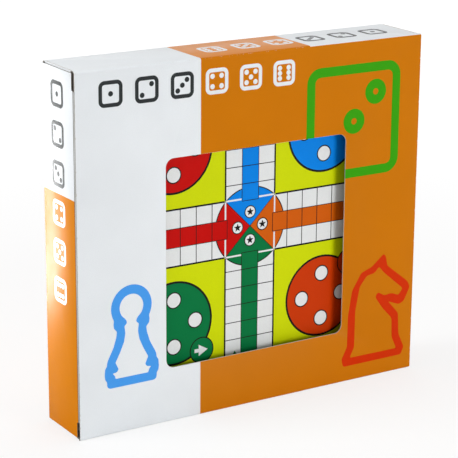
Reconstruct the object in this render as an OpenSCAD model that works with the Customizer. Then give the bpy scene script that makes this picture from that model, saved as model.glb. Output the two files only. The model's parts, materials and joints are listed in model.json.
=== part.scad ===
// Tuck-end carton with a window, holding a ludo board, sixteen pawns and a die in a moulded tray.
// The carton stands on its bottom panel: X runs from the left closure to the right one, Y from the
// front panel to the back one, and Z up. The origin is the middle of the bottom panel's outer face.
// A "depth" here is a distance behind the outer face of the front panel.

/* [Carton] */
// Width of the carton, outside of closure to outside of closure
box_w = 160; // [158:1:200]
// Height of the carton
box_h = 146; // [143:1:190]
// Depth of the carton, front to back
box_d = 27; // [24:0.5:36]
// Thickness of the printed card
card_t = 0.5; // [0.4:0.05:0.6]
// Outer radius of the creases that run along the tube
crease_r = 1; // [0.8:0.1:1.4]
// Width of the glue flap inside the back panel
glue_w = 13; // [8:1:20]
// How far each end of the glue flap tapers in
glue_taper = 5; // [2:0.5:8]

/* [Window] */
// Width of the window
window_w = 84.5; // [60:0.5:110]
// Height of the window
window_h = 85.5; // [60:0.5:88]
// Distance of the window's middle to the right of the carton's middle
window_x = 1; // [-6:0.5:6]
// Height of the window's middle above the base
window_z = 65.5; // [60:0.5:75]
// Radius of the window's corners
window_r = 3.5; // [1:0.5:10]

/* [Tuck flaps] */
// Length of a tuck flap from its crease to its free edge
tuck_len = 10; // [7:0.5:11]
// How much deeper a tuck flap's free edge lies than its crease
tuck_lean = 2.7; // [2:0.1:3]
// Radius of a tuck flap's free corners
tuck_r = 6; // [1:0.5:6.5]
// Length of the slit at each end of a tuck crease, which locks the closure
slit_len = 7.2; // [4:0.2:12]
// Width of the slit between the front panel and the closure
slit_w = 2; // [1:0.1:2.8]

/* [Dust flaps] */
// Length of a dust flap from its crease to its free edge
dust_len = 15; // [8:0.5:17]
// Depth of the front edges of the dust flaps
dust_front = 4; // [4:0.1:6]
// Distance of a dust flap's heel from the crease of the closure
dust_heel = 1.5; // [1.2:0.1:3]
// Slope of a dust flap's mitred back edge, sideways over lengthways
dust_mitre = 0.8; // [0.8:0.01:0.9]
// Radius of a dust flap's front free corner
dust_r = 2; // [0.5:0.5:3]

/* [Tray] */
// Thickness of the tray's walls, floors and ribs
tray_t = 1.2; // [0.8:0.1:1.6]
// Radius of the tray's outer corners
tray_r = 3; // [1:0.5:5]
// Number of cells across the tray's underside, and up it
cells = 3; // [2:1:4]
// Width of a thumb notch beside the board
thumb_w = 24; // [16:1:32]
// Height of a thumb notch
thumb_h = 5; // [3:0.5:5.5]

/* [Board] */
// Length of each side of the square board
board_w = 128; // [110:1:129]
// Thickness of the board's core
core_t = 1.8; // [1:0.1:2.4]
// Thickness of the printed sheet on the board
sheet_t = 0.2; // [0.1:0.05:0.4]
// Radius of the board's corners
board_r = 1.5; // [0.5:0.5:4]
// How far the board's face lies below the tray's rim
board_drop = 0.9; // [0.4:0.1:1.5]

/* [Pawns and die] */
// Diameter of a pawn's foot
pawn_d = 7.4; // [6:0.1:8]
// Height of a pawn
pawn_h = 13; // [11:0.5:14]
// Thickness of a pawn's foot
foot_t = 1.5; // [1:0.1:2]
// Diameter of a pawn's head
head_d = 4.8; // [4:0.1:5.5]
// Diameter of a pawn's cone at its foot
cone_d = 5.9; // [5:0.1:6]
// Diameter of a pawn's neck
neck_d = 2.6; // [2:0.1:3]
// Number of pawns of each colour
pawn_count = 4; // [2:1:4]
// Edge length of the die
die_w = 7; // [5:0.5:7.5]
// Diameter of a pip on the die
pip_d = 1.2; // [0.8:0.1:1.4]
// Distance from one pip to the next, as a share of the die's edge length
pip_share = 0.27; // [0.24:0.01:0.3]
// Distance from the die's middle to its rounded corners, as a share of its edge length
corner_share = 0.72; // [0.7:0.01:0.8]

/* [Clearances] */
// Gap between two panels across a crease that turns
crease_gap = 0.1; // [0.06:0.01:0.15]
// Gap between a closure and the dust flaps behind it
layer_gap = 0.15; // [0.1:0.01:0.25]
// Gap between a tuck crease and the inside of the front panel
tuck_gap = 0.35; // [0.3:0.01:0.45]
// Gap between the ends of a closure and the top and bottom panels
closure_gap = 0.2; // [0.15:0.01:0.4]
// Gap between the tray and the flaps at its ends
tray_end_gap = 0.6; // [0.4:0.05:0.9]
// Gap between the tray and the carton's other sides
tray_gap = 0.3; // [0.2:0.02:0.5]
// Gap around the board, the pawns and the die in the tray
seat_gap = 0.3; // [0.2:0.02:0.4]

/* [Hidden] */
$fn = 48;
left = -1;
right = 1;
upper = 1;
lower = -1;
through = 1;                                    // how far a cutter runs past what it cuts
mid_z = box_h / 2;
// Ends of the carton. The closures' outer faces are box_w apart.
closure_in = box_w / 2 - card_t;                // inner face of a closure
hinge_x = box_w / 2 - card_t / 2;               // middle of a closure's thickness
hinge_y = box_d / 2 - card_t / 2;               // crease between the back panel and a closure
panel_end = closure_in - crease_gap;            // cut ends of the top, back and bottom panels
closure_h = box_h - 2 * (card_t + closure_gap);
tuck_crease = card_t + tuck_gap + card_t / 2;   // depth of a tuck crease
tuck_angle = asin(tuck_lean / tuck_len);
tuck_inside = tuck_crease + card_t / 2 * (1 / cos(tuck_angle) + tan(tuck_angle));
closure_front = tuck_inside + crease_gap;       // depth of a closure's edge beside its tuck flap
tuck_h = box_h - 2 * (slit_len + closure_gap);
dust_x = closure_in - layer_gap - card_t / 2;   // middle of a dust flap's thickness
dust_root = hinge_y - dust_heel;                // heel of a dust flap
dust_end = dust_x - card_t / 2 - crease_gap;    // top and bottom panels end here behind a dust flap
// Tray and what it holds
tray_half = dust_x - card_t / 2 - tray_end_gap;
tray_h = box_h - 2 * (card_t + tray_gap);
tray_rim = tuck_crease + tuck_lean + card_t / 2 + tray_gap;
tray_back = box_d - 2 * card_t - tray_gap;
board_face_depth = tray_rim + board_drop;
core_front = board_face_depth + sheet_t;
pocket_floor = core_front + core_t;
pocket_w = board_w + 2 * seat_gap;
gutter_r = pawn_d / 2 + seat_gap;
gutter_x = (pocket_w / 2 + tray_half) / 2;
gutter_floor = tray_rim + 2 * gutter_r;
gutter_len = pawn_count * pawn_h + (pawn_count + 1) * seat_gap;
die_pocket = die_w + 2 * seat_gap;
gutter_z = die_pocket / 2 + tray_t + gutter_len / 2;   // from the tray's middle to a gutter's
thumb_r = (thumb_w * thumb_w / 4 + thumb_h * thumb_h) / (2 * thumb_h);
neck_reach = head_d / 4;                        // how far a pawn's neck runs into its head

// Y of a point that lies at this depth
function at(depth) = depth - box_d / 2;

module on_side(side) mirror([side < 0 ? 1 : 0, 0, 0]) children();

module on_end(end) translate([0, 0, end < 0 ? box_h : 0]) mirror([0, 0, end < 0 ? 1 : 0]) children();

// Profile in Y and Z, run along X and centred on it
module along_x(length) translate([-length / 2, 0, 0]) rotate([90, 0, 90])
    linear_extrude(length) children();

// Outline in X and Z about the middle of the carton, run from one depth to another
module through_depth(from, to) translate([0, at(to), mid_z]) rotate([90, 0, 0])
    linear_extrude(to - from) children();

module rounded(w, h, r) {
    square([w - 2 * r, h], center = true);
    square([w, h - 2 * r], center = true);
    for (x = [-1, 1], z = [-1, 1])
        translate([x * (w / 2 - r), z * (h / 2 - r)]) circle(r);
}

// Quarter of a ring: the bent card of a crease, in the quadrant that u and v point to
module bend(u, v) intersection() {
    difference() {
        circle(crease_r);
        circle(crease_r - card_t);
    }
    quadrant(u, v);
}

module quadrant(u, v)
    translate([u < 0 ? -crease_r : 0, v < 0 ? -crease_r : 0]) square(crease_r);

module front_panel() color("darkorange") {
    difference() {
        along_x(box_w) {
            translate([at(0), crease_r]) square([card_t, box_h - 2 * crease_r]);
            translate([at(crease_r), crease_r]) bend(-1, -1);
            translate([at(crease_r), box_h - crease_r]) bend(-1, 1);
        }
        translate([window_x, 0, window_z - mid_z])
            through_depth(-through, card_t + through) rounded(window_w, window_h, window_r);
    }
}

// End of the top or bottom panel: cut back behind the dust flap, full length beside it
module dust_relief() for (side = [left, right]) on_side(side)
    translate([dust_end, at(dust_front) - crease_gap, -through])
        cube([box_w, dust_root - at(dust_front) + 2 * crease_gap, crease_r + through]);

module top_panel() color("orange") on_end(lower) difference() {
    along_x(2 * panel_end) translate([at(crease_r), 0]) square([box_d - 2 * crease_r, card_t]);
    dust_relief();
}

module back_panel() color("darkorange") along_x(2 * panel_end) {
    translate([at(box_d) - card_t, closure_gap]) square([card_t, box_h - crease_r - closure_gap]);
    translate([at(box_d - crease_r), box_h - crease_r]) bend(1, 1);
}

module bottom_panel() color("orange") difference() {
    along_x(2 * panel_end) {
        translate([at(crease_r), 0]) square([box_d - 2 * crease_r - card_t, card_t]);
        translate([at(box_d - crease_r) - card_t, crease_r]) bend(1, -1);
    }
    dust_relief();
}

module glue_flap() color("white")
    translate([0, at(box_d) - card_t, crease_r]) rotate([90, 0, 0]) linear_extrude(card_t)
        polygon([[-dust_end, 0], [dust_end, 0],
            [dust_end - glue_taper, glue_w], [glue_taper - dust_end, glue_w]]);

// A closure turns on the round edge of its card, which is its crease with the back panel
module closure_panel(side) color("gold") on_side(side) {
    translate([closure_in, 0, 0]) rotate([90, 0, 90]) linear_extrude(card_t) difference() {
        translate([at(closure_front), mid_z - closure_h / 2])
            square([hinge_y - at(closure_front), closure_h]);
        for (z = [0, box_h])
            translate([at(0), z - slit_len]) square([card_t + slit_w, 2 * slit_len]);
    }
    translate([hinge_x, hinge_y, mid_z]) cylinder(h = closure_h, r = card_t / 2, center = true);
}

// What rounding takes off the corner of an outline that lies in the quadrant that u and v point to
module corner_cut(r, u = 1, v = 1) mirror([u < 0 ? 1 : 0, 0]) mirror([0, v < 0 ? 1 : 0])
    difference() {
        translate([-through, -through]) square(r + through);
        translate([r, r]) circle(r);
    }

module tuck_flap(side) color("white") on_side(side)
    translate([hinge_x, at(tuck_crease), mid_z]) rotate([0, 0, -tuck_angle]) {
        translate([-tuck_len, card_t / 2, 0]) rotate([90, 0, 0]) linear_extrude(card_t)
            difference() {
                translate([0, -tuck_h / 2]) square([tuck_len, tuck_h]);
                translate([0, -tuck_h / 2]) corner_cut(tuck_r);
                translate([0, tuck_h / 2]) corner_cut(tuck_r, v = -1);
            }
        cylinder(h = tuck_h, r = card_t / 2, center = true);
    }

// A dust flap hangs from its crease. Its back edge is mitred, so that the closure can swing past.
module dust_flap(side, end) color("white") on_side(side) on_end(end)
    translate([dust_x, 0, box_h - card_t / 2]) {
        translate([-card_t / 2, 0, 0]) rotate([90, 0, 90]) linear_extrude(card_t)
            mirror([0, 1]) dust_outline();
        translate([0, at(dust_front), 0]) rotate([-90, 0, 0])
            cylinder(h = dust_root - at(dust_front), r = card_t / 2);
    }

// In Y and in distance from the crease
module dust_outline() difference() {
    polygon([[at(dust_front), 0], [dust_root, 0], [dust_root - dust_mitre * dust_len, dust_len],
        [at(dust_front), dust_len]]);
    translate([at(dust_front), dust_len]) corner_cut(dust_r, v = -1);
}

module game_tray() color("gainsboro") difference() {
    through_depth(tray_rim, tray_back) rounded(2 * tray_half, tray_h, tray_r);
    through_depth(tray_rim - through, pocket_floor) {
        rounded(pocket_w, pocket_w, board_r + seat_gap);
        for (z = [-1, 1])
            translate([0, z * (pocket_w / 2 + thumb_h - thumb_r)]) circle(thumb_r);
    }
    for (side = [left, right]) on_side(side) {
        for (end = [upper, lower]) translate([gutter_x, 0, mid_z + end * gutter_z]) gutter();
        side_channel();
    }
    translate([gutter_x, 0, 0]) through_depth(tray_rim - through, gutter_floor)
        square(die_pocket, center = true);
    underside_cells();
}

// Round-bottomed gutter in which the pawns of one colour lie head to foot
module gutter() {
    translate([0, at(tray_rim) + gutter_r, 0])
        cylinder(h = gutter_len, r = gutter_r, center = true);
    translate([-gutter_r, at(tray_rim) - through, -gutter_len / 2])
        cube([2 * gutter_r, gutter_r + through, gutter_len]);
}

// Hollow behind the gutters, open to the back
module side_channel() {
    inner = pocket_w / 2 + tray_t;
    outer = tray_half - tray_t;
    translate([(inner + outer) / 2, 0, 0]) through_depth(gutter_floor + tray_t, tray_back + through)
        square([outer - inner, tray_h - 2 * tray_t], center = true);
}

// Cells between the ribs behind the board, open to the back
module underside_cells() {
    cell_w = (pocket_w - (cells - 1) * tray_t) / cells;
    cell_h = (tray_h - (cells + 1) * tray_t) / cells;
    half = (cells - 1) / 2;
    through_depth(pocket_floor + tray_t, tray_back + through)
        for (i = [-half : half], j = [-half : half])
            translate([i * (cell_w + tray_t), j * (cell_h + tray_t)])
                square([cell_w, cell_h], center = true);
}

module board_core() color("burlywood")
    through_depth(core_front, pocket_floor) rounded(board_w, board_w, board_r);

module board_face() color("greenyellow")
    through_depth(board_face_depth, core_front) rounded(board_w, board_w, board_r);

// A pawn stands on its foot, with its axis up
module pawn() {
    cylinder(h = foot_t, r = pawn_d / 2);
    cylinder(h = pawn_h - head_d + neck_reach, r1 = cone_d / 2, r2 = neck_d / 2);
    translate([0, 0, pawn_h - head_d / 2]) sphere(head_d / 2);
}

module pawn_row(side, end)
    for (i = [0 : pawn_count - 1])
        translate([side * gutter_x, at(tray_rim) + gutter_r, mid_z + end * gutter_z
            - gutter_len / 2 + seat_gap + i * (pawn_h + seat_gap)]) pawn();

module red_pawns() color("red") pawn_row(left, upper);

module green_pawns() color("green") pawn_row(left, lower);

module blue_pawns() color("dodgerblue") pawn_row(right, upper);

module orange_pawns() color("orangered") pawn_row(right, lower);

// Pips of one face of the die, on a three by three grid in the XY plane
module pips(count) {
    grid = die_w * pip_share;
    if (count % 2 == 1) sphere(pip_d / 2);
    if (count > 1) for (s = [-1, 1]) translate([s * grid, s * grid, 0]) sphere(pip_d / 2);
    if (count > 3) for (s = [-1, 1]) translate([s * grid, -s * grid, 0]) sphere(pip_d / 2);
    if (count == 6) for (s = [-1, 1]) translate([s * grid, 0, 0]) sphere(pip_d / 2);
}

// Opposite faces of the die add up to seven
module die() color("ivory")
    translate([gutter_x, at(gutter_floor - seat_gap - die_w / 2), mid_z]) difference() {
        intersection() {
            cube(die_w, center = true);
            sphere(die_w * corner_share);
        }
        for (face = [[1, [0, 0, 0]], [2, [90, 0, 0]], [3, [0, 90, 0]]]) rotate(face[1]) {
            translate([0, 0, die_w / 2]) pips(face[0]);
            translate([0, 0, -die_w / 2]) pips(7 - face[0]);
        }
    }

front_panel();
top_panel();
back_panel();
bottom_panel();
glue_flap();
closure_panel(left);  // left_closure_panel
tuck_flap(left);  // left_tuck_flap
dust_flap(left, upper);  // left_upper_dust_flap
dust_flap(left, lower);  // left_lower_dust_flap
closure_panel(right);  // right_closure_panel
tuck_flap(right);  // right_tuck_flap
dust_flap(right, upper);  // right_upper_dust_flap
dust_flap(right, lower);  // right_lower_dust_flap
game_tray();
board_core();
board_face();
red_pawns();
green_pawns();
blue_pawns();
orange_pawns();
die();
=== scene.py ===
"""Travel ludo in a tuck-end carton: printed card, with a window over the board in its moulded tray.

Metres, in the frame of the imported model: X runs from the left closure to the right one, Y from the
front panel to the back one, and Z up from the base. Sizes of the object are written in millimetres
times MM, and those of the board's print in cells times CELL.
"""
import json
import math
import bpy
from mathutils import Matrix, Vector

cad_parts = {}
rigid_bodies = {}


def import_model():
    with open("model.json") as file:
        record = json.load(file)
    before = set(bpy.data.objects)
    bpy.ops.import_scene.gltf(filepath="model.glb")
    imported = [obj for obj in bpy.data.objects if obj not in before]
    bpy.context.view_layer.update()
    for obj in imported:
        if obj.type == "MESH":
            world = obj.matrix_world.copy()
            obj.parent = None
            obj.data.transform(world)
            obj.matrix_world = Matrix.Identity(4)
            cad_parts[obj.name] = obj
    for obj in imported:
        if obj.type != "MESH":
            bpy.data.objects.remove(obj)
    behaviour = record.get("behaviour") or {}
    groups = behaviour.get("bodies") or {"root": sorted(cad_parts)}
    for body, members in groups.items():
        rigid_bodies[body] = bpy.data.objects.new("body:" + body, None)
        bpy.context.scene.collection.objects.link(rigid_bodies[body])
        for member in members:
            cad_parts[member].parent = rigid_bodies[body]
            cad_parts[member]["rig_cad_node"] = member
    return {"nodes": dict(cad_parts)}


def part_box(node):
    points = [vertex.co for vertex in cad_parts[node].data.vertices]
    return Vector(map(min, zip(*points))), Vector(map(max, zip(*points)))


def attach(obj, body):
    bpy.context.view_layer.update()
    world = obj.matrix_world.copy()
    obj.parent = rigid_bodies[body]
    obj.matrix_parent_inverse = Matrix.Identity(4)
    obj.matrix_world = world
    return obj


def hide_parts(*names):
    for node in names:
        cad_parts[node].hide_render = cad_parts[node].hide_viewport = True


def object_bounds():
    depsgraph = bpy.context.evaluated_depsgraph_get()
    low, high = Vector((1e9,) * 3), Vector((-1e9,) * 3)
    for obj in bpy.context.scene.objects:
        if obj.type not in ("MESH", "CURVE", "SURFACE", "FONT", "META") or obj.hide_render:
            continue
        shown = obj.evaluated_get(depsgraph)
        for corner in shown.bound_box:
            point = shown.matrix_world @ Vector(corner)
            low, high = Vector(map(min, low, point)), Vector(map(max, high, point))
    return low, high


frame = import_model()
cad_low, cad_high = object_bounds()

MM = 0.001
FRONT = cad_low.y
LEFT = cad_low.x
RIGHT = cad_high.x
TOP = cad_high.z
MIDDLE = (cad_low + cad_high) / 2

# The carton's card
CARD = 0.5 * MM            # how thick it is
EDGE_ROUND = 0.06 * MM     # how far its cut edges are rounded
CUT_AREA = 100 * MM * MM   # bare faces smaller than this are cut edges
CREVICE = 0.7 * MM         # cut edges this near to the carton's ends lie in a crevice, and get a darker colour there as painted shade
FOLD = 0.3 * MM            # rounded folds reach this far in from the top and the base
BULGE = 0.8 * MM           # how far the closures bulge between their front and back creases
FLAT = 0.005 * MM          # faces this near to one of the carton's outer planes lie in it

# The print on the carton
INK = 0.03 * MM            # the print stands this much above the card, up to the carton's outer faces
INK_ROOT = 0.02 * MM       # and reaches this far into it, so that no two faces share a plane
FIELD_LEFT = -25.6 * MM    # white to the left of this on the front and the top, orange to the right
FIELD_RIGHT = 25.0 * MM    # white to the right of this on the back and the top
FIELD_DOWN = 96.5 * MM     # white above this on the closures, orange below
WINDOW_RIGHT = 43.25 * MM  # the window's right edge
WINDOW_TOP = 108.25 * MM   # and its top edge

# Varnish over the print: its refractive index, and how rough it is
VARNISH = 1.15
TOP_VARNISH = 1.25         # the top shows a sheen, at a low angle
CARTON_MATT = 0.33
CLOSURE_MATT = 0.42
BOARD_MATT = 0.38

# Colours as they look on the object, in sRGB
WHITE_CARD = (235, 239, 242)
ORANGE = (206, 119, 0)
LIT_SIDE_ORANGE = (218, 130, 0)   # the orange of the top and the closures: the front's orange made lighter, as painted light where they catch more light
CHARCOAL = (46, 50, 51)
LEAF_GREEN = (56, 161, 8)
SKY_BLUE = (74, 158, 240)
VERMILION = (212, 50, 0)
CUT_CARD = (208, 203, 195)
CARD_BACK = (168, 160, 148)
# Bare card of the cut edges in the crevices at the carton's ends, darkened as painted shade
CREVICE_SHADE_CARD = (122, 115, 107)
LIME = (209, 222, 0)
BOARD_WHITE = (232, 234, 234)
BOARD_BLACK = (24, 22, 20)
ORANGE_PATH = (210, 94, 6)
QUARTERS = {
    "green": (0, 117, 62),
    "orange": (204, 58, 0),
    "blue": (0, 132, 231),
    "red": (198, 6, 0),
}
TRAY_WHITE = (222, 224, 226)
IVORY = [(226, 222, 208), (240, 238, 228)]
CHIPBOARD = [(120, 114, 104), (158, 151, 139)]
CHIPBOARD_SPECK = (90, 84, 76)
PAWN_COLOURS = {
    "red": (190, 20, 24),
    "green": (10, 120, 60),
    "blue": (20, 96, 200),
    "orange": (224, 88, 12),
}


# ---------------------------------------------------------------- small helpers

def linear(colour):
    """Linear RGBA of an sRGB colour."""
    parts = [c / 255 for c in colour]
    return [p / 12.92 if p <= 0.04045 else ((p + 0.055) / 1.055) ** 2.4 for p in parts] + [1]


def shade(colour, factor):
    """A colour made lighter or darker, as linear RGBA."""
    return [min(1, part * factor) for part in linear(colour)[:3]] + [1]


def select_only(piece):
    bpy.ops.object.select_all(action="DESELECT")
    piece.select_set(True)
    bpy.context.view_layer.objects.active = piece


def edit(mode="EDIT"):
    bpy.ops.object.mode_set(mode=mode)


def apply_modifier(piece, kind, **settings):
    """Adds a modifier, sets it up and applies it."""
    select_only(piece)
    bpy.ops.object.modifier_add(type=kind)
    modifier = piece.modifiers[-1]
    for setting, value in settings.items():
        setattr(modifier, setting, value)
    bpy.ops.object.modifier_apply(modifier=modifier.name)


def select_where(piece, kind, test):
    """Selects the vertices or polygons of a piece that pass a test, and nothing else, in object mode."""
    for group in (piece.data.vertices, piece.data.edges, piece.data.polygons):
        for part in group:
            part.select = False
    for part in getattr(piece.data, kind):
        part.select = test(part)


def copy_of(piece, name):
    """A copy with a mesh of its own."""
    twin = piece.copy()
    twin.data = piece.data.copy()
    twin.name = name
    bpy.context.collection.objects.link(twin)
    return twin


def place(piece, turn, spot):
    """Turns and moves a piece's mesh, and leaves its object at the origin."""
    select_only(piece)
    piece.matrix_world = Matrix.Translation(spot) @ turn.to_4x4()
    bpy.ops.object.transform_apply(location=True, rotation=True, scale=True)


def dress(piece, body, finish):
    """Gives a finished piece its finish and the body that it moves with."""
    piece.data.materials.clear()
    piece.data.materials.append(finish)
    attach(piece, body)


# ---------------------------------------------------------------- finishes

class Finish:
    """A material's nodes. Patterns are laid out on Object coordinates, in metres."""

    def __init__(self, name, **sockets):
        self.material = bpy.data.materials.new(name)
        self.material.use_nodes = True
        self.tree = self.material.node_tree
        self.shader = self.tree.nodes["Principled BSDF"]
        self.place = self.add("ShaderNodeTexCoord").outputs["Object"]
        self.normal = None
        for socket, value in sockets.items():
            self.shader.inputs[socket.replace("_", " ")].default_value = value

    def add(self, kind, inputs=(), **settings):
        node = self.tree.nodes.new(kind)
        for setting, value in settings.items():
            setattr(node, setting, value)
        for socket, value in dict(inputs).items():
            if isinstance(value, bpy.types.NodeSocket):
                self.tree.links.new(value, node.inputs[socket])
            else:
                node.inputs[socket].default_value = value
        return node

    def link(self, value, socket):
        self.tree.links.new(value, self.shader.inputs[socket])

    def noise(self, size, detail=2.0, rough=0.5, stretch=(1, 1, 1)):
        """Noise whose spots are about this size, drawn out along an axis by stretch."""
        scale = [1 / (size * s) for s in stretch]
        spot = self.add("ShaderNodeVectorMath", {0: self.place, 1: scale}, operation="MULTIPLY")
        inputs = {"Vector": spot.outputs[0], "Scale": 1.0, "Detail": detail, "Roughness": rough}
        return self.add("ShaderNodeTexNoise", inputs).outputs["Fac"]

    def math(self, operation, first, second=0.0):
        return self.add("ShaderNodeMath", {0: first, 1: second}, operation=operation).outputs[0]

    def remap(self, value, low, high, to_low=0.0, to_high=1.0):
        inputs = {"Value": value, "From Min": low, "From Max": high, "To Min": to_low, "To Max": to_high}
        return self.add("ShaderNodeMapRange", inputs).outputs["Result"]

    def mix(self, share, first, second):
        """A colour that goes from the first to the second as share goes from 0 to 1."""
        node = self.add("ShaderNodeMix", {"Factor": share}, data_type="RGBA")
        for socket, value in ((node.inputs[6], first), (node.inputs[7], second)):
            if isinstance(value, bpy.types.NodeSocket):
                self.tree.links.new(value, socket)
            else:
                socket.default_value = value
        return node.outputs[2]

    def bump(self, height, depth):
        """Adds relief of this depth, in metres, on top of what is there already."""
        inputs = {"Height": height, "Distance": depth, "Strength": 1.0}
        if self.normal:
            inputs["Normal"] = self.normal
        self.normal = self.add("ShaderNodeBump", inputs).outputs["Normal"]
        self.link(self.normal, "Normal")

    def axes(self):
        split = self.add("ShaderNodeSeparateXYZ", {"Vector": self.place})
        return [split.outputs[axis] for axis in "XYZ"]

    def near_carton_edge(self, reach):
        """1 on the carton's edges, falling to 0 this far from them."""
        near = []
        for value, centre, half in zip(self.axes(), MIDDLE, (cad_high - cad_low) / 2):
            distance = self.math("ABSOLUTE", self.math("SUBTRACT", value, centre))
            near.append(self.remap(distance, half - reach, half))
        pairs = [self.math("MINIMUM", near[i], near[i - 1]) for i in range(3)]
        return self.math("MAXIMUM", self.math("MAXIMUM", pairs[0], pairs[1]), pairs[2])


def printed(name, colour, matt=CARTON_MATT, worn=True, closure=False, varnish=VARNISH):
    """Printed card under a thin matt varnish: faint mottle, fine grain, and pale specks where creases
    wear. The narrow closures bulge a little from front to back, which turns the gleam on them."""
    card = Finish(name, IOR=varnish)
    cloud = card.remap(card.noise(18 * MM), 0.3, 0.7)
    tone = card.mix(cloud, shade(colour, 0.975), shade(colour, 1.02))
    grain = card.remap(card.noise(0.28 * MM, detail=3), 0.35, 0.7, 0.0, 0.55)
    tone = card.mix(grain, tone, shade(colour, 0.9))
    if worn:
        rub = card.remap(card.noise(1.1 * MM, detail=4, rough=0.7), 0.56, 0.62)
        edge = card.near_carton_edge(0.5 * MM)
        tone = card.mix(card.math("MULTIPLY", rub, edge), tone, linear(CUT_CARD))
    card.link(tone, "Base Color")
    card.link(card.remap(card.noise(7 * MM, detail=3), 0.3, 0.7, matt - 0.04, matt + 0.05), "Roughness")
    card.bump(card.noise(34 * MM, detail=1), 0.35 * MM)
    card.bump(card.noise(0.16 * MM, detail=2), 0.004 * MM)
    if closure:
        away = card.math("DIVIDE", card.axes()[1], cad_high.y)
        card.bump(card.math("MULTIPLY", away, away), -BULGE)
    return card.material


def raw_card(name, colour):
    """Uncoated card: matt pulp with longer fibres in it."""
    card = Finish(name, IOR=1.45)
    pulp = card.remap(card.noise(0.5 * MM, detail=4, rough=0.6), 0.3, 0.7)
    tone = card.mix(pulp, shade(colour, 0.9), shade(colour, 1.06))
    fibre = card.remap(card.noise(0.12 * MM, detail=2, stretch=(6, 1, 1)), 0.62, 0.72, 0.0, 0.35)
    tone = card.mix(fibre, tone, shade(colour, 0.72))
    card.link(tone, "Base Color")
    card.link(card.remap(pulp, 0, 1, 0.82, 0.92), "Roughness")
    card.bump(card.noise(0.2 * MM, detail=3, rough=0.6), 0.012 * MM)
    return card.material


def moulded(name, colour, roughness, part_line=None, depth=0.01 * MM):
    """Moulded plastic: near-even colour, a faint orange-peel skin and, on pawns, a parting line."""
    plastic = Finish(name, IOR=1.49, Specular_IOR_Level=0.55)
    swirl = plastic.remap(plastic.noise(9 * MM, detail=3), 0.3, 0.7)
    plastic.link(plastic.mix(swirl, shade(colour, 0.95), shade(colour, 1.03)), "Base Color")
    scuff = plastic.remap(plastic.noise(1.6 * MM, detail=4, rough=0.65), 0.35, 0.7)
    plastic.link(plastic.remap(scuff, 0, 1, roughness - 0.03, roughness + 0.08), "Roughness")
    plastic.bump(plastic.noise(0.7 * MM, detail=2), depth)
    if part_line is not None:
        distance = plastic.math("ABSOLUTE", plastic.math("SUBTRACT", plastic.axes()[1], part_line))
        plastic.bump(plastic.remap(distance, 0.03 * MM, 0.12 * MM, 1, 0), 0.05 * MM)
    return plastic.material


def die_plastic():
    """Ivory plastic with black paint in the pips: what lies below the faces but clear of the corners."""
    round_corner = 1.38        # from its middle to its rounded corners, as a share of half its width
    low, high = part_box("die")
    centre = (low + high) / 2
    half = (high.x - low.x) / 2
    plastic = Finish("die_plastic", IOR=1.49)
    offsets = [plastic.math("ABSOLUTE", plastic.math("SUBTRACT", value, middle))
               for value, middle in zip(plastic.axes(), centre)]
    reach = plastic.math("MAXIMUM", plastic.math("MAXIMUM", offsets[0], offsets[1]), offsets[2])
    away = plastic.add("ShaderNodeVectorMath", {0: plastic.place, 1: centre}, operation="DISTANCE")
    clear = plastic.remap(away.outputs["Value"], round_corner * half, (round_corner + 0.02) * half, 1, 0)
    below = plastic.remap(reach, half - 0.05 * MM, half - 0.01 * MM, 1, 0)
    paint = plastic.math("MULTIPLY", clear, below)
    swirl = plastic.remap(plastic.noise(3 * MM, detail=3), 0.3, 0.7)
    ivory = plastic.mix(swirl, linear(IVORY[0]), linear(IVORY[1]))
    plastic.link(plastic.mix(paint, ivory, linear(BOARD_BLACK)), "Base Color")
    plastic.link(plastic.remap(paint, 0, 1, 0.22, 0.5), "Roughness")
    plastic.bump(plastic.noise(0.5 * MM), 0.006 * MM)
    return plastic.material


def grey_board():
    """Grey chipboard, pressed in layers that show at its edges."""
    board = Finish("grey_board", IOR=1.45)
    layer = board.remap(board.noise(0.22 * MM, detail=2, stretch=(30, 1, 30)), 0.35, 0.65)
    tone = board.mix(layer, linear(CHIPBOARD[0]), linear(CHIPBOARD[1]))
    speck = board.remap(board.noise(0.4 * MM, detail=4, rough=0.7), 0.6, 0.7, 0, 0.6)
    board.link(board.mix(speck, tone, linear(CHIPBOARD_SPECK)), "Base Color")
    board.link(board.remap(speck, 0, 1, 0.85, 0.95), "Roughness")
    board.bump(board.noise(0.3 * MM, detail=3, rough=0.7), 0.03 * MM)
    return board.material


# ---------------------------------------------------------------- carton

def square_up(piece):
    """Merges the loose triangles of a copied CAD mesh into whole faces."""
    select_only(piece)
    edit()
    bpy.ops.mesh.select_all(action="SELECT")
    bpy.ops.mesh.remove_doubles(threshold=0.002 * MM)
    bpy.ops.mesh.dissolve_limited(angle_limit=math.radians(0.5))
    edit("OBJECT")


def sink_skin(piece, axis, level):
    """Moves what lies on one outer plane of the carton in by the thickness of the print."""
    select_where(piece, "vertices", lambda v: abs(v.co[axis] - level) < FLAT)
    inward = Vector((0, 0, 0))
    inward[axis] = INK if level < MIDDLE[axis] else -INK
    edit()
    bpy.ops.transform.translate(value=inward)
    edit("OBJECT")


def split_field(piece, axis, level):
    """Cuts a line across a panel where one colour of the print meets the other."""
    across = Vector((0, 0, 0))
    across[axis] = 1
    select_only(piece)
    edit()
    bpy.ops.mesh.select_all(action="SELECT")
    bpy.ops.mesh.bisect(plane_co=across * level, plane_no=across)
    edit("OBJECT")


# The places of the finishes in a list that dresses a piece of card
WHITE, PLAIN_ORANGE, CUT_EDGE, INSIDE, SHADED_END_EDGE = range(5)


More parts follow.
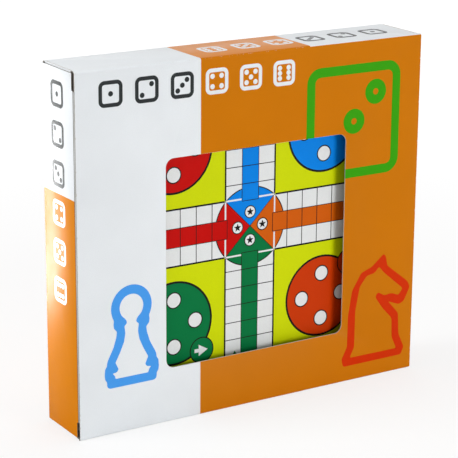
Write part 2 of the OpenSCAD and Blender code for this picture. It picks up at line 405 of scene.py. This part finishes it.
def card_piece(node, body, is_skin, colour_at, finishes, borders=()):
    """Card made from a CAD panel: softened cut edges, and print or bare pulp on each face."""
    piece = copy_of(frame["nodes"][node], node.replace("_panel", "").replace("_flap", "") + "_card")
    piece.parent = None
    del piece["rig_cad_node"]
    square_up(piece)
    for axis, level in ((1, FRONT), (2, TOP), (0, LEFT), (0, RIGHT)):
        sink_skin(piece, axis, level)
    apply_modifier(piece, "BEVEL", width=EDGE_ROUND, segments=2, limit_method="ANGLE",
                   angle_limit=math.radians(40))
    for axis, level in borders:
        split_field(piece, axis, level)
    piece.data.materials.clear()
    for finish in finishes:
        piece.data.materials.append(finish)
    for face in piece.data.polygons:
        if is_skin(face.normal, face.center):
            face.material_index = colour_at(face.center)
        else:
            face.material_index = bare_finish(face)
    bpy.ops.object.shade_smooth_by_angle(angle=math.radians(35))
    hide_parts(node)
    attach(piece, body)
    return piece


def bare_finish(face):
    """The finish of a face that has no print on it. Cut edges near the carton's ends get a darker finish,
    as painted shade for the crevice there.
    """
    if face.area > CUT_AREA:
        return INSIDE
    return SHADED_END_EDGE if abs(face.center.x) > RIGHT - CREVICE else CUT_EDGE


# A face looks along an axis when its normal has more than this share of its length along it
FACING = 0.5
CREASE_FACING = -0.2       # the print of a closure ends on its rounded creases, where they look this way


def tube_skin(normal, centre):
    """Outside of the four panels that run round the carton. Their cut ends face left or right."""
    return normal.dot(centre - MIDDLE) > 0 and abs(normal.x) < FACING and not window_edge(centre)


def window_edge(centre):
    """Whether a spot on the front panel lies in the cut edge round the window."""
    margin = 0.08 * MM
    inside = FRONT + margin < centre.y < FRONT + CARD - margin
    return inside and 2 * CARD < centre.z < TOP - 2 * CARD


def tube_colour(centre):
    """White to the left on the front and to the right on the back. The top and bottom have both."""
    folded = abs(centre.z - MIDDLE.z) > MIDDLE.z - FOLD
    left = centre.x < FIELD_LEFT and (folded or centre.y < 0)
    right = centre.x > FIELD_RIGHT and (folded or centre.y > 0)
    return WHITE if left or right else PLAIN_ORANGE


def outward(normal, centre):
    """How far a face looks out of the end of the carton that it is near to."""
    return normal.x if centre.x > 0 else -normal.x


def closure_skin(normal, centre):
    """Outside of a closure with its rounded creases, but none of its cut edges."""
    printed_side = outward(normal, centre) > CREASE_FACING
    return printed_side and abs(normal.z) < FACING and normal.y > -FACING


def closure_colour(centre):
    return WHITE if centre.z > FIELD_DOWN else PLAIN_ORANGE


def plain_white(centre):
    return WHITE


def make_carton():
    """The tube's four panels and its glue flap, and a closure with its three flaps at each end."""
    for panel in ("front", "back", "top", "bottom"):
        card_piece(f"{panel}_panel", "carton", tube_skin, tube_colour,
                   TOP_FINISHES if panel == "top" else PANEL_FINISHES,
                   borders=[(0, FIELD_LEFT), (0, FIELD_RIGHT)])
    card_piece("glue_flap", "carton", lambda normal, centre: normal.y > FACING, plain_white,
               PANEL_FINISHES)
    for side in ("left", "right"):
        card_piece(f"{side}_closure_panel", f"{side}_closure", closure_skin, closure_colour,
                   CLOSURE_FINISHES, borders=[(2, FIELD_DOWN)])
        card_piece(f"{side}_tuck_flap", f"{side}_tuck", lambda normal, centre: normal.y < -FACING,
                   plain_white, PANEL_FINISHES)
        for end in ("upper", "lower"):
            card_piece(f"{side}_{end}_dust_flap", f"{side}_{end}_dust",
                       lambda normal, centre: outward(normal, centre) > FACING, plain_white,
                       PANEL_FINISHES)


# ---------------------------------------------------------------- flat shapes, drawn facing the front

FACING_FRONT = (math.pi / 2, 0, 0)


def start_drawing(name):
    """An empty mesh in edit mode, to which flat shapes are added."""
    bpy.ops.object.select_all(action="DESELECT")
    bpy.ops.mesh.primitive_plane_add(size=MM)
    bpy.context.object.name = name
    edit()
    bpy.ops.mesh.delete(type="VERT")


def finish_drawing(front, thickness):
    """Moves the shapes to their depth and makes them thick, backwards from there."""
    bpy.ops.mesh.select_all(action="SELECT")
    bpy.ops.transform.translate(value=(0, front, 0))
    edit("OBJECT")
    piece = bpy.context.object
    apply_modifier(piece, "SOLIDIFY", thickness=thickness, offset=-1)
    return piece


def disc(x, z, radius, sides=64):
    bpy.ops.mesh.primitive_circle_add(vertices=sides, radius=radius, fill_type="NGON",
                                      location=(x, 0, z), rotation=FACING_FRONT)


def bar(x, z, width, height, turn=0.0):
    """A rectangle about its middle, turned anticlockwise as seen from the front."""
    spot = Vector((x, 0, z))
    bpy.ops.mesh.primitive_plane_add(size=1, location=spot, rotation=FACING_FRONT)
    bpy.ops.transform.resize(value=(width, 1, height), center_override=spot)
    if turn:
        bpy.ops.transform.rotate(value=turn, orient_axis="Y", center_override=spot)


def cut_out_middle(stroke):
    """Turns the selected flat shape into a band along its own edge."""
    bpy.ops.mesh.inset(thickness=stroke, use_even_offset=True)
    bpy.ops.mesh.delete(type="FACE")


def rounded_bar(x, z, width, height, radius):
    """A rectangle about its middle with rounded corners, left selected."""
    bar(x, z, width, height)
    bpy.ops.mesh.bevel(offset=radius, affect="VERTICES", segments=10, offset_type="OFFSET")
    bpy.ops.mesh.select_linked()


# ---------------------------------------------------------------- dice faces across the carton

PIP_PLACES = {
    1: [(0, 0)],
    2: [(-1, -1), (1, 1)],
    3: [(-1, -1), (0, 0), (1, 1)],
    4: [(-1, -1), (-1, 1), (1, -1), (1, 1)],
    5: [(-1, -1), (-1, 1), (0, 0), (1, -1), (1, 1)],
    6: [(-1, -1), (-1, 0), (-1, 1), (1, -1), (1, 0), (1, 1)],
}

# Shares of a dice face's width
FACE_CORNER = 0.24
FACE_STROKE = 0.15
FACE_PIP_STEP = 0.2
FACE_PIP = 0.1

DICE_SIZE = 10.2 * MM
DICE_PITCH = 15.5 * MM
HALF_ROW = 2.5 * DICE_PITCH      # from the middle of a row of six to its first face
DICE_ROW = 136.4 * MM            # height of the row on the front
DICE_FIRST = -64.9 * MM          # the first face on the front
CLOSURE_DICE_DROP = 10.7 * MM    # the first face on a closure is this far below the top
CLOSURE_DICE_Y = 1.0 * MM        # and the rows there run this far behind the middle


def dice_face(x, z, count, size):
    """A die seen square on, in outline."""
    rounded_bar(x, z, size, size, FACE_CORNER * size)
    cut_out_middle(FACE_STROKE * size)
    for across, up in PIP_PLACES[count]:
        step = FACE_PIP_STEP * size
        disc(x + step * across, z + step * up, FACE_PIP * size, sides=24)


def dice_row(name, counts):
    """Some of a row's six dice faces, laid out about the middle of the whole row."""
    start_drawing(name)
    for count in counts:
        dice_face((count - 1) * DICE_PITCH - HALF_ROW, 0, count, DICE_SIZE)
    return finish_drawing(-INK, INK + INK_ROOT)


def make_dice_rows():
    """Dice faces one to six across the front and the top, and down both closures."""
    middle = DICE_FIRST + HALF_ROW
    closure_middle = TOP - CLOSURE_DICE_DROP - HALF_ROW
    downwards = Matrix.Rotation(math.pi / 2, 3, "Y")
    to_left = Matrix.Rotation(-math.pi / 2, 3, "Z")
    to_right = Matrix.Rotation(math.pi / 2, 3, "Z")
    to_back = Matrix.Rotation(math.pi, 3, "Z")
    lying = Matrix.Rotation(-math.pi / 2, 3, "X")
    places = {
        "front": ("carton", Matrix.Identity(3), (middle, FRONT + INK, DICE_ROW)),
        "top": ("carton", to_back @ lying, (-middle, 0, TOP - INK)),
        "left_closure": ("left_closure", to_left @ downwards,
                         (LEFT + INK, CLOSURE_DICE_Y, closure_middle)),
        "right_closure": ("right_closure", to_right @ downwards,
                          (RIGHT - INK, CLOSURE_DICE_Y, closure_middle)),
    }
    inks = {"charcoal": ((1, 2, 3), CHARCOAL, CHARCOAL_INK), "white": ((4, 5, 6), WHITE_CARD, WHITE_INK)}
    for colour, (counts, rgb, front_finish) in inks.items():
        row = dice_row(f"{colour}_dice_row", counts)
        closure_finish = printed(f"closure_{colour}_marks", rgb, worn=False, closure=True)
        finishes = {
            "front": front_finish,
            "top": printed(f"top_{colour}_marks", rgb, worn=False, varnish=TOP_VARNISH),
            "left_closure": closure_finish,
            "right_closure": closure_finish,
        }
        for panel, (body, turn, middle_of_row) in places.items():
            printed_row = copy_of(row, f"{panel}_{colour}_dice")
            place(printed_row, turn, Vector(middle_of_row))
            dress(printed_row, body, finishes[panel])
        bpy.data.objects.remove(row)


# ---------------------------------------------------------------- figures on the front

THROUGH = 1 * MM           # how far a cutter runs past what it cuts


def filled_outline(name, points, corner, front, thickness):
    """A flat shape with this outline, in millimetres across and up, and its corners rounded."""
    points = [Vector((x * MM, 0, z * MM)) for x, z in points]
    bpy.ops.object.select_all(action="DESELECT")
    bpy.ops.mesh.primitive_plane_add(size=MM, location=points[0])
    piece = bpy.context.object
    piece.name = name
    edit()
    bpy.ops.mesh.merge(type="CENTER")
    for here, there in zip(points, points[1:]):
        bpy.ops.mesh.extrude_region_move(TRANSFORM_OT_translate={"value": there - here})
    edit("OBJECT")
    bpy.ops.object.transform_apply(location=True)
    ends = (0, len(points) - 1)
    select_where(piece, "vertices", lambda v: v.index in ends)
    edit()
    bpy.ops.mesh.edge_face_add()
    bpy.ops.mesh.select_all(action="SELECT")
    bpy.ops.mesh.edge_face_add()
    bpy.ops.mesh.bevel(offset=corner, affect="VERTICES", segments=4)
    edit("OBJECT")
    select_where(piece, "polygons", lambda f: f.normal.y > 0)
    edit()
    bpy.ops.mesh.flip_normals()
    return finish_drawing(front, thickness)


def cut_away(piece, cutter):
    """Takes the cutter's shape out of a piece."""
    apply_modifier(piece, "BOOLEAN", operation="DIFFERENCE", object=cutter, solver="EXACT")
    bpy.data.objects.remove(cutter)
    return piece


def ink_band(name, outer, inner, corner):
    """A printed band between two outlines on the front."""
    band = filled_outline(name, outer, corner, FRONT, INK + INK_ROOT)
    return cut_away(band, filled_outline("cutter", inner, corner, FRONT - THROUGH, 2 * THROUGH))


# Half of the pawn's outlines, as distance from its middle and height, from its foot to its collar, in
# millimetres. Its head is an arc that starts so many degrees below the middle of the head.
PAWN_OUTSIDE = [(9.9, 19.3), (10.8, 19.9), (11.1, 20.8), (11.1, 22.2), (11.9, 23.2), (12.1, 25.0),
                (11.9, 27.6), (11.1, 28.7), (10.9, 30.4), (10.2, 31.9), (8.1, 35.9), (6.8, 40.0),
                (6.5, 42.2), (7.8, 43.7), (8.0, 45.4), (7.8, 46.4)]
PAWN_INSIDE = [(7.3, 22.9), (7.6, 24.2), (8.6, 25.3), (6.7, 25.6), (5.9, 26.7), (7.3, 29.6), (5.2, 33.5),
               (3.4, 37.6), (2.8, 41.0), (3.2, 44.1), (2.5, 44.5), (2.0, 45.3), (2.4, 46.3)]
PAWN_X = -56.8
PAWN_HEAD_Z = 51.4
PAWN_HEAD_OUTSIDE = (9.0, 29)    # radius of the head and start of its arc
PAWN_HEAD_INSIDE = (5.25, 55)
PAWN_CORNER = 0.4 * MM

# The knight's outlines, in millimetres. Both start at its ear, and the outside goes down its face and
# its chest first, and the inside down its neck.
KNIGHT_OUTSIDE = [(64.2, 53.9), (65.4, 52.6), (66.2, 48.4), (77.2, 39.7), (78.5, 37.0), (75.6, 31.2),
                  (73.0, 30.0), (67.2, 32.3), (72.7, 26.2), (73.3, 16.7), (76.3, 10.3), (74.8, 7.0),
                  (44.6, 6.9), (43.7, 10.3), (46.4, 15.5), (46.5, 29.0), (48.3, 40.0), (52.8, 47.2),
                  (58.3, 49.1)]
KNIGHT_INSIDE = [(62.0, 48.6), (59.7, 46.1), (55.7, 45.5), (52.2, 41.2), (50.2, 30.9), (50.1, 14.8),
                 (47.9, 10.4), (72.3, 10.3), (69.7, 15.9), (69.4, 24.4), (64.2, 30.0), (60.4, 35.3),
                 (61.7, 37.3), (65.2, 35.3), (69.0, 35.7), (72.6, 34.2), (74.8, 36.9), (64.2, 45.9)]
KNIGHT_CORNER = 0.9 * MM

# The big die in the upper right corner: left, bottom, right and top of its outline, and its pips
DIE_EDGES = [23.7 * MM, 89.3 * MM, 69.8 * MM, 136.5 * MM]
DIE_STROKE = 3.9 * MM
DIE_CORNER = 6.4 * MM
DIE_PIPS = [(57.5 * MM, 124.2 * MM), (47.0 * MM, 112.9 * MM)]
PIP_RADIUS = 5.2 * MM
PIP_STROKE = 0.74          # share of a pip's radius that is printed


def pawn_outline(side, radius, collar):
    """Both sides of the pawn and its round head, as one outline."""
    steps = 24
    head = []
    for step in range(steps + 1):
        angle = math.radians(-collar + (180 + 2 * collar) * step / steps)
        head.append((radius * math.cos(angle), PAWN_HEAD_Z + radius * math.sin(angle)))
    left = [(-away, height) for away, height in reversed(side)]
    return [(PAWN_X + away, height) for away, height in side + head + left]


def big_die():
    """The green die, which the window cuts into at its lower left."""
    left, bottom, right, top = DIE_EDGES
    start_drawing("front_green_die")
    rounded_bar((left + right) / 2, (bottom + top) / 2, right - left, top - bottom, DIE_CORNER)
    cut_out_middle(DIE_STROKE)
    for x, z in DIE_PIPS:
        disc(x, z, PIP_RADIUS)
        cut_out_middle(PIP_STROKE * PIP_RADIUS)
    ring = finish_drawing(FRONT, INK + INK_ROOT)
    bpy.ops.mesh.primitive_cube_add(size=1)
    gap = bpy.context.object
    gap.scale = (2 * WINDOW_RIGHT, 2 * THROUGH, 2 * (WINDOW_TOP - MIDDLE.z))
    gap.location = (0, FRONT, MIDDLE.z)
    bpy.ops.object.transform_apply(location=True, scale=True)
    return cut_away(ring, gap)


def make_figures():
    """The three outline figures printed on the front."""
    dress(big_die(), "carton", GREEN_INK)
    outside = pawn_outline(PAWN_OUTSIDE, *PAWN_HEAD_OUTSIDE)
    inside = pawn_outline(PAWN_INSIDE, *PAWN_HEAD_INSIDE)
    pawn = ink_band("front_blue_pawn", outside, inside, PAWN_CORNER)
    dress(pawn, "carton", BLUE_INK)
    knight = ink_band("front_red_knight", KNIGHT_OUTSIDE, KNIGHT_INSIDE, KNIGHT_CORNER)
    dress(knight, "carton", RED_INK)


# ---------------------------------------------------------------- the board's print

# The print is laid out in cells, about its own middle. A quarter is drawn as the green one, which has the
# arm that points down and the yard at the lower left, and the others are quarter turns of it.
CELL = 7.77 * MM
PRINT_X = 0.65 * MM
PRINT_Z = 74.2 * MM
PRINT_LAYER = 0.01 * MM    # each layer of the print stands this much above the one below it
PRINT_HALF = 7.94
ARM = 3                    # width of an arm
YARD = 4.56                # from the middle of the print to a yard's, across and up
YARD_RADIUS = 2.16
YARD_RIM = 0.115
YARD_SPOTS = [(0, 1.26), (1.26, 0), (0, -1.26), (-1.26, 0)]
YARD_SPOT_RADIUS = 0.385
YARD_SPOT_RIM = 0.065
START = (-2.9, -6.28)      # middle of a start circle
START_RADIUS = 0.66
START_RIM = 0.06
ARROW = 0.36               # radius of the triangle at an arrow's tip
ARROW_TAIL = (0.85, 0.55, 0.7)   # its tail's distance, width and length, as shares of that radius
ENTRY_ARROW = (-0.88, -7.05)     # middle of the arrow beside a path's outer end
HOME_RADIUS = 2.07
HOME_RIM = 0.06
HOME_SPOT = 0.76           # from the middle of the print to a home spot's
HOME_SPOT_RADIUS = 0.29
HOME_SPOT_RIM = 0.055
STAR = 0.22                # radius of a star
STAR_KITE = (0.42, 0.26, 0.62)   # a kite's distance, width and length, as shares of the star's radius
SEAM = 0.75                # from the middle of the print to the middle of a seam, across and up
SEAM_LENGTH = 2.12
FIRST_SEAM = -135          # direction of the seam at the lower left, in degrees
HOME_EDGE = 0.93           # length of a white edge in the home circle
PATH_END = 1.39            # a coloured path ends this far from the middle
BORDER_END = 1.55          # and an arm's borders end here
LINES = [2.3 + 0.94 * k for k in range(6)]     # where the lines across an arm are
LINE = 0.042               # width of those lines
FINE_LINE = 0.036          # width of the lines beside a path and of a seam
BORDER = 0.09              # width of an arm's border, and of the white edges in the home circle


def on_print(turn, across, up):
    """A place on the print, in cells from its middle, after so many quarter turns anticlockwise."""
    for _ in range(turn):
        across, up = -up, across
    return PRINT_X + across * CELL, PRINT_Z + up * CELL


def print_bar(turn, across, up, width, height):
    """A bar in cells, on the arm of the print that this quarter turn brings."""
    if turn % 2:
        width, height = height, width
    bar(*on_print(turn, across, up), width * CELL, height * CELL)


def arm_bar(turn, across, width, inner):
    """A bar along an arm, from this far out to the edge of the print."""
    print_bar(turn, across, -(PRINT_HALF + inner) / 2, width, PRINT_HALF - inner)


def print_disc(turn, across, up, radius, sides=64):
    disc(*on_print(turn, across, up), radius * CELL, sides)


def arrow(turn, across, up, direction=0.0):
    """A broad arrow with a short tail, pointing to the middle of the board when direction is 0."""
    x, z = on_print(turn, across, up)
    size = ARROW * CELL
    facing = turn * math.pi / 2 + direction
    tip = Vector((-math.sin(facing), 0, math.cos(facing)))
    bpy.ops.mesh.primitive_circle_add(vertices=3, radius=size, fill_type="NGON", location=(x, 0, z),
                                      rotation=(math.pi / 2, -facing, 0))
    distance, width, length = ARROW_TAIL
    tail = Vector((x, 0, z)) - tip * size * distance
    bar(tail.x, tail.z, size * width, size * length, turn=facing)


def star(x, z, size):
    """A five-pointed star, as five narrow kites about its middle."""
    distance, width, length = STAR_KITE
    for point in range(5):
        angle = 2 * math.pi * point / 5
        away = Vector((math.sin(angle), 0, math.cos(angle))) * size
        middle = Vector((x, 0, z)) + away * distance
        bpy.ops.mesh.primitive_circle_add(vertices=4, radius=1, fill_type="NGON", location=middle,
                                          rotation=FACING_FRONT)
        bpy.ops.transform.resize(value=(size * width, 1, size * length), center_override=middle)
        bpy.ops.transform.rotate(value=-angle, orient_axis="Y", center_override=middle)


def print_layer(level):
    """Finishes one layer of the print, so many layers above the sheet."""
    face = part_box("board_face")[0].y
    return finish_drawing(face - level * PRINT_LAYER, level * PRINT_LAYER + INK_ROOT)


def add_print(name, level, finish, draw, turns=range(4)):
    """Draws one colour of one layer of the print, once for each quarter of the board or for some."""
    start_drawing(name)
    for turn in turns:
        draw(turn)
    dress(print_layer(level), "carton", finish)


def track(turn):
    """An arm of the white track: two of them meet in the middle, and the other two end beside these."""
    arm_bar(turn, 0, ARM, 0 if turn % 2 == 0 else ARM / 2)


def yard_spots(turn, radius):
    for across, up in YARD_SPOTS:
        print_disc(turn, across - YARD, up - YARD, radius, sides=40)


def cell_lines(turn):
    """The lines across an arm, those beside its path, the path's end and a seam of the home circle."""
    for line in LINES:
        print_bar(turn, 0, -line, ARM, LINE)
    for side in (-0.5, 0.5):
        arm_bar(turn, side, FINE_LINE, PATH_END)
    print_bar(turn, 0, -PATH_END, 1, FINE_LINE)
    slope = math.pi / 4 * (-1 if turn % 2 else 1)
    bar(*on_print(turn, -SEAM, -SEAM), SEAM_LENGTH * CELL, FINE_LINE * CELL, turn=slope)


def arm_borders(turn):
    for side in (-ARM / 2, ARM / 2):
        arm_bar(turn, side, BORDER, BORDER_END)


def home_edges(turn):
    """White edges inside the home circle, one to each side of the path."""
    for side in (-1.0, 1.0):
        print_bar(turn, side, -ARM / 2, HOME_EDGE, BORDER)


def path_finish(colour):
    """The orange path and its part of the home circle are browner than the orange yard."""
    return PRINTS["orange_path" if colour == "orange" else colour]


def make_home_quarters():
    """The circle in the middle of the board, with each player's colour on the side of their arm."""
    start_drawing("home_quarters")
    bpy.ops.mesh.primitive_circle_add(vertices=96, radius=HOME_RADIUS * CELL, fill_type="TRIFAN",
                                      location=(PRINT_X, 0, PRINT_Z), rotation=FACING_FRONT)
    piece = print_layer(3)
    piece.data.materials.clear()
    for colour in QUARTERS:
        piece.data.materials.append(path_finish(colour))
    for face in piece.data.polygons:
        angle = math.degrees(math.atan2(face.center.z - PRINT_Z, face.center.x - PRINT_X))
        face.material_index = int((angle - FIRST_SEAM) // 90) % 4
    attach(piece, "carton")


def make_quarter(turn, colour):
    """What one player's quarter has in its own colour."""
    finish = PRINTS[colour]
    add_print(f"{colour}_yard", 2, finish, lambda t: print_disc(t, -YARD, -YARD, YARD_RADIUS), [turn])
    add_print(f"{colour}_path", 4, path_finish(colour), lambda t: arm_bar(t, 0, 1, PATH_END), [turn])
    add_print(f"{colour}_start", 4, finish, lambda t: print_disc(t, *START, START_RADIUS), [turn])
    add_print(f"{colour}_entry_arrow", 6, finish, lambda t: arrow(t, *ENTRY_ARROW), [turn])


def make_board_print():
    """The print, colour by colour. It repeats on the four quarters of the board."""
    black = PRINTS["black"]
    white = PRINTS["white"]
    add_print("track_white", 1, white, track)
    add_print("yard_rims", 1, black, lambda t: print_disc(t, -YARD, -YARD, YARD_RADIUS + YARD_RIM))
    add_print("home_rim", 2, black, lambda t: print_disc(t, 0, 0, HOME_RADIUS + HOME_RIM, sides=96), [0])
    make_home_quarters()
    for turn, colour in enumerate(QUARTERS):
        make_quarter(turn, colour)
    add_print("start_rims", 3, black, lambda t: print_disc(t, *START, START_RADIUS + START_RIM))
    add_print("start_arrows", 5, white, lambda t: arrow(t, *START, direction=-math.pi / 2))
    add_print("yard_spot_rims", 3, black, lambda t: yard_spots(t, YARD_SPOT_RADIUS + YARD_SPOT_RIM))
    add_print("yard_spots", 4, white, lambda t: yard_spots(t, YARD_SPOT_RADIUS))
    add_print("cell_lines", 5, black, cell_lines)
    add_print("arm_borders", 6, black, arm_borders)
    add_print("home_edges", 7, white, home_edges)
    add_print("home_spot_rims", 6, black,
              lambda t: print_disc(t, 0, -HOME_SPOT, HOME_SPOT_RADIUS + HOME_SPOT_RIM, sides=40))
    add_print("home_spots", 7, white, lambda t: print_disc(t, 0, -HOME_SPOT, HOME_SPOT_RADIUS, sides=40))
    add_print("home_stars", 8, black, lambda t: star(*on_print(t, 0, -HOME_SPOT), STAR * CELL))


# ---------------------------------------------------------------- what the carton holds

def finish_node(node, finish):
    for slot in frame["nodes"][node].material_slots:
        slot.material = finish


def finish_contents():
    """Finishes for the pieces inside the carton, which keep the shape that they have in the CAD."""
    finish_node("board_face", printed("board_lime", LIME, BOARD_MATT, worn=False))
    finish_node("board_core", grey_board())
    finish_node("game_tray", moulded("tray_plastic", TRAY_WHITE, 0.42, depth=0.02 * MM))
    pawn_axis = sum(corner.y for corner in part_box("red_pawns")) / 2
    for colour, rgb in PAWN_COLOURS.items():
        finish_node(f"{colour}_pawns", moulded(f"{colour}_plastic", rgb, 0.2, part_line=pawn_axis))
    finish_node("die", die_plastic())


# ---------------------------------------------------------------- camera, light and stage

# The camera that took the photo, as found from the edges of the carton and its print
VIEW_AZIMUTH = math.radians(-31.944)
VIEW_ELEVATION = math.radians(16.364)
VIEW_ROLL = math.radians(0.396)
VIEW_DISTANCE = 733.02 * MM
VIEW_TARGET = Vector((-12.538 * MM, FRONT, 76.146 * MM))
VIEW_LENS = 145.582


def add_camera():
    back = Vector((math.sin(VIEW_AZIMUTH) * math.cos(VIEW_ELEVATION),
                   -math.cos(VIEW_AZIMUTH) * math.cos(VIEW_ELEVATION),
                   math.sin(VIEW_ELEVATION)))
    level = Vector((math.cos(VIEW_AZIMUTH), math.sin(VIEW_AZIMUTH), 0))
    upright = back.cross(level)
    across = level * math.cos(VIEW_ROLL) + upright * math.sin(VIEW_ROLL)
    up = upright * math.cos(VIEW_ROLL) - level * math.sin(VIEW_ROLL)
    bpy.ops.object.camera_add()
    camera = bpy.context.object
    turn = Matrix((across, up, back)).transposed()
    camera.matrix_world = Matrix.Translation(VIEW_TARGET + back * VIEW_DISTANCE) @ turn.to_4x4()
    camera.data.lens = VIEW_LENS
    camera.data.sensor_width = 36
    bpy.context.scene.camera = camera


def add_softbox(name, where, width, height, power, turn=None):
    """A rectangular lamp, turned to the middle of the carton unless it has a turn of its own."""
    bpy.ops.object.light_add(type="AREA", location=where)
    lamp = bpy.context.object
    lamp.name = name
    lamp.data.shape = "RECTANGLE"
    lamp.data.size = width
    lamp.data.size_y = height
    lamp.data.energy = power
    lamp.rotation_euler = turn or (MIDDLE - Vector(where)).to_track_quat("-Z", "Y").to_euler()


def background_share(tree):
    """1 for rays that see the background, straight or in a reflection, and 0 for light on the object."""
    path = tree.nodes.new("ShaderNodeLightPath")
    share = path.outputs["Is Camera Ray"]
    for kind in ("Is Glossy Ray", "Is Transmission Ray"):
        most = tree.nodes.new("ShaderNodeMath")
        most.operation = "MAXIMUM"
        tree.links.new(share, most.inputs[0])
        tree.links.new(path.outputs[kind], most.inputs[1])
        share = most.outputs[0]
    return share


def light_world(ambient):
    world = bpy.data.worlds.new("studio")
    bpy.context.scene.world = world
    world.use_nodes = True
    tree = world.node_tree
    sky = tree.nodes["Background"]
    sky.inputs["Color"].default_value = (1, 1, 1, 1)
    level = tree.nodes.new("ShaderNodeMapRange")
    tree.links.new(background_share(tree), level.inputs["Value"])
    level.inputs["To Min"].default_value = ambient
    level.inputs["To Max"].default_value = 1.0
    tree.links.new(level.outputs["Result"], sky.inputs["Strength"])


FADE_START = 0.2           # metres from the carton's middle at which the tabletop starts to fade
FADE_END = 0.6             # and at which only the background is left


def add_floor():
    """A white tabletop that takes the carton's shadow and fades into the white background."""
    bpy.ops.mesh.primitive_plane_add(size=6, location=(0, 0, 0))
    floor = bpy.context.object
    floor.name = "tabletop"
    top = Finish("white_tabletop", Base_Color=(0.86, 0.86, 0.86, 1), Roughness=0.9)
    tree = top.tree
    away = top.add("ShaderNodeVectorMath", {0: top.place}, operation="LENGTH").outputs["Value"]
    fade = top.remap(away, FADE_START, FADE_END, 0.7, 1.0)
    seen = top.add("ShaderNodeLightPath").outputs["Is Camera Ray"]
    glow = top.add("ShaderNodeEmission", {"Strength": 1.07})
    blend = top.add("ShaderNodeMixShader", {0: top.math("MULTIPLY", seen, fade)})
    tree.links.new(top.shader.outputs[0], blend.inputs[1])
    tree.links.new(glow.outputs[0], blend.inputs[2])
    tree.links.new(blend.outputs[0], tree.nodes["Material Output"].inputs["Surface"])
    floor.data.materials.append(top.material)


def light_studio():
    """Three soft lamps, and a long strip on the tabletop that gleams in the left closure."""
    bpy.context.scene.view_settings.view_transform = "Standard"
    light_world(0.25)
    add_softbox("front_softbox", (0.45, -1.4, 0.2), 0.6, 0.6, 12.8)
    add_softbox("left_softbox", (-1.1, 0.25, 0.5), 0.6, 0.8, 8.8)
    add_softbox("top_softbox", (0.15, 0.1, 1.3), 0.8, 0.8, 6.1)
    add_softbox("glare_softbox", (-0.206, 0.385, 0.004), 0.06, 0.55, 3.6,
                turn=(math.pi, 0, math.radians(18)))
    add_floor()


# ---------------------------------------------------------------- all together

add_camera()

WHITE_INK = printed("white_print", WHITE_CARD)
ORANGE_INK = printed("orange_print", ORANGE)
CHARCOAL_INK = printed("charcoal_print", CHARCOAL, worn=False)
GREEN_INK = printed("green_print", LEAF_GREEN, worn=False)
BLUE_INK = printed("blue_print", SKY_BLUE, worn=False)
RED_INK = printed("red_print", VERMILION, worn=False)
BARE_FINISHES = [
    raw_card("cut_edge", CUT_CARD),
    raw_card("card_back", CARD_BACK),
    # darker bare card for cut edges at the carton's ends, as painted shade
    raw_card("shaded_end_edge", CREVICE_SHADE_CARD),
]
PANEL_FINISHES = [WHITE_INK, ORANGE_INK] + BARE_FINISHES
# The top and the closures take a lighter orange than the front, as painted light
TOP_FINISHES = [
    printed("top_white_print", WHITE_CARD, varnish=TOP_VARNISH),
    printed("top_orange_print", LIT_SIDE_ORANGE, varnish=TOP_VARNISH),
] + BARE_FINISHES
CLOSURE_FINISHES = [
    printed("closure_white_print", WHITE_CARD, CLOSURE_MATT, closure=True),
    printed("closure_orange_print", LIT_SIDE_ORANGE, CLOSURE_MATT, closure=True),
] + BARE_FINISHES
BOARD_INKS = QUARTERS | {"orange_path": ORANGE_PATH, "black": BOARD_BLACK, "white": BOARD_WHITE}
PRINTS = {name: printed(f"board_{name}", rgb, BOARD_MATT, worn=False)
          for name, rgb in BOARD_INKS.items()}

make_carton()
make_dice_rows()
make_figures()
make_board_print()
finish_contents()
light_studio()
